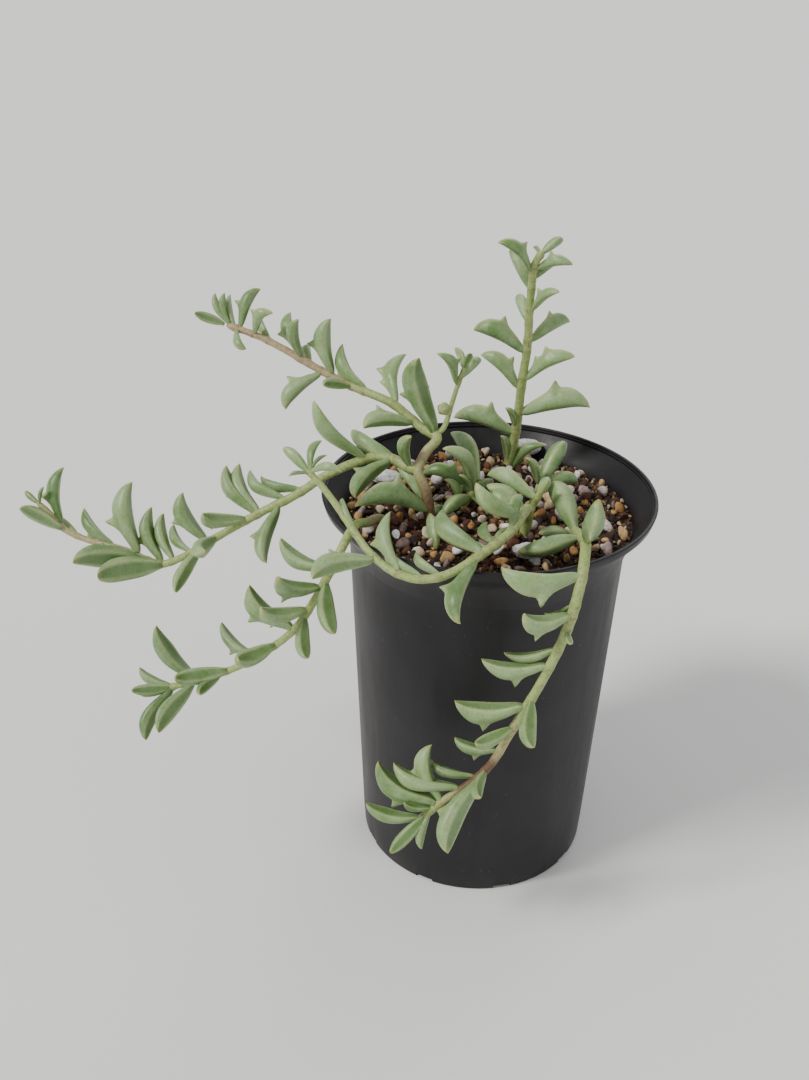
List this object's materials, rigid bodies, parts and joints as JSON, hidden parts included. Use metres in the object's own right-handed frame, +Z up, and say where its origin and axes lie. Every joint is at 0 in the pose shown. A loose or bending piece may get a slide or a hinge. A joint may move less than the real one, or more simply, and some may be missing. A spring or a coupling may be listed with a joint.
{
  "type": "potted string of dolphins",
  "caption": "Trailing succulent with arched dolphin-shaped leaves on arching and hanging stems, rooted in a gritty mix in a tall tapered black nursery pot.",
  "frame": {"origin": "middle of the pot's underside", "axes": "+Z up out of the pot; -Y is the front, where one stem hangs down the pot; -X is the side that the long stems trail to"},
  "size_m": [0.2295, 0.1481, 0.232],
  "materials": {
    "pot": "satin black moulded plastic, lightly dusty",
    "mix": "loose gritty growing mix",
    "pumice": "chalky white porous stone",
    "stem_green": "smooth fleshy green stem",
    "stem_woody": "green stem turning to brown bark at its foot",
    "leaf": "fleshy leaf with a waxy bloom",
    "bud": "smooth green flower bud"
  },
  "bodies": {
    "root": {"pot": "pot", "trunk_and_upper_left_stem": "stem_woody", "trunk_and_upper_left_stem_leaf_1": "leaf", "trunk_and_upper_left_stem_leaf_2": "leaf", "trunk_and_upper_left_stem_leaf_3": "leaf", "trunk_and_upper_left_stem_leaf_4": "leaf", "trunk_and_upper_left_stem_leaf_5": "leaf", "trunk_and_upper_left_stem_leaf_6": "leaf", "trunk_and_upper_left_stem_leaf_7": "leaf", "trunk_and_upper_left_stem_leaf_8": "leaf", "trunk_and_upper_left_stem_leaf_9": "leaf", "upright_stem": "stem_woody", "upright_stem_leaf_1": "leaf", "upright_stem_leaf_2": "leaf", "upright_stem_leaf_3": "leaf", "upright_stem_leaf_4": "leaf", "upright_stem_leaf_5": "leaf", "upright_stem_leaf_6": "leaf", "upright_stem_leaf_7": "leaf", "long_left_stem": "stem_green", "long_left_stem_leaf_1": "leaf", "long_left_stem_leaf_2": "leaf", "long_left_stem_leaf_3": "leaf", "long_left_stem_leaf_4": "leaf", "long_left_stem_leaf_5": "leaf", "long_left_stem_leaf_6": "leaf", "long_left_stem_leaf_7": "leaf", "long_left_stem_leaf_8": "leaf", "long_left_stem_leaf_9": "leaf", "lower_left_stem": "stem_woody", "lower_left_stem_leaf_1": "leaf", "lower_left_stem_leaf_2": "leaf", "lower_left_stem_leaf_3": "leaf", "lower_left_stem_leaf_4": "leaf", "lower_left_stem_leaf_5": "leaf", "lower_left_stem_leaf_6": "leaf", "front_stem": "stem_woody", "front_stem_leaf_1": "leaf", "front_stem_leaf_2": "leaf", "front_stem_leaf_3": "leaf", "front_stem_leaf_4": "leaf", "front_stem_leaf_5": "leaf", "front_stem_leaf_6": "leaf", "front_stem_leaf_7": "leaf", "front_stem_leaf_8": "leaf", "rim_stem": "stem_woody", "rim_stem_leaf_1": "leaf", "rim_stem_leaf_2": "leaf", "rim_stem_leaf_3": "leaf", "rim_side_shoot": "stem_green", "budding_shoot": "stem_green", "budding_shoot_leaf_1": "leaf", "back_shoot": "stem_woody", "middle_shoot": "stem_woody", "middle_shoot_leaf_1": "leaf", "flower_bud": "bud", "growing_mix": "mix", "back_pumice_stone": "pumice", "left_pumice_stone": "pumice", "front_pumice_stone": "pumice"}
  },
  "joints": []
}
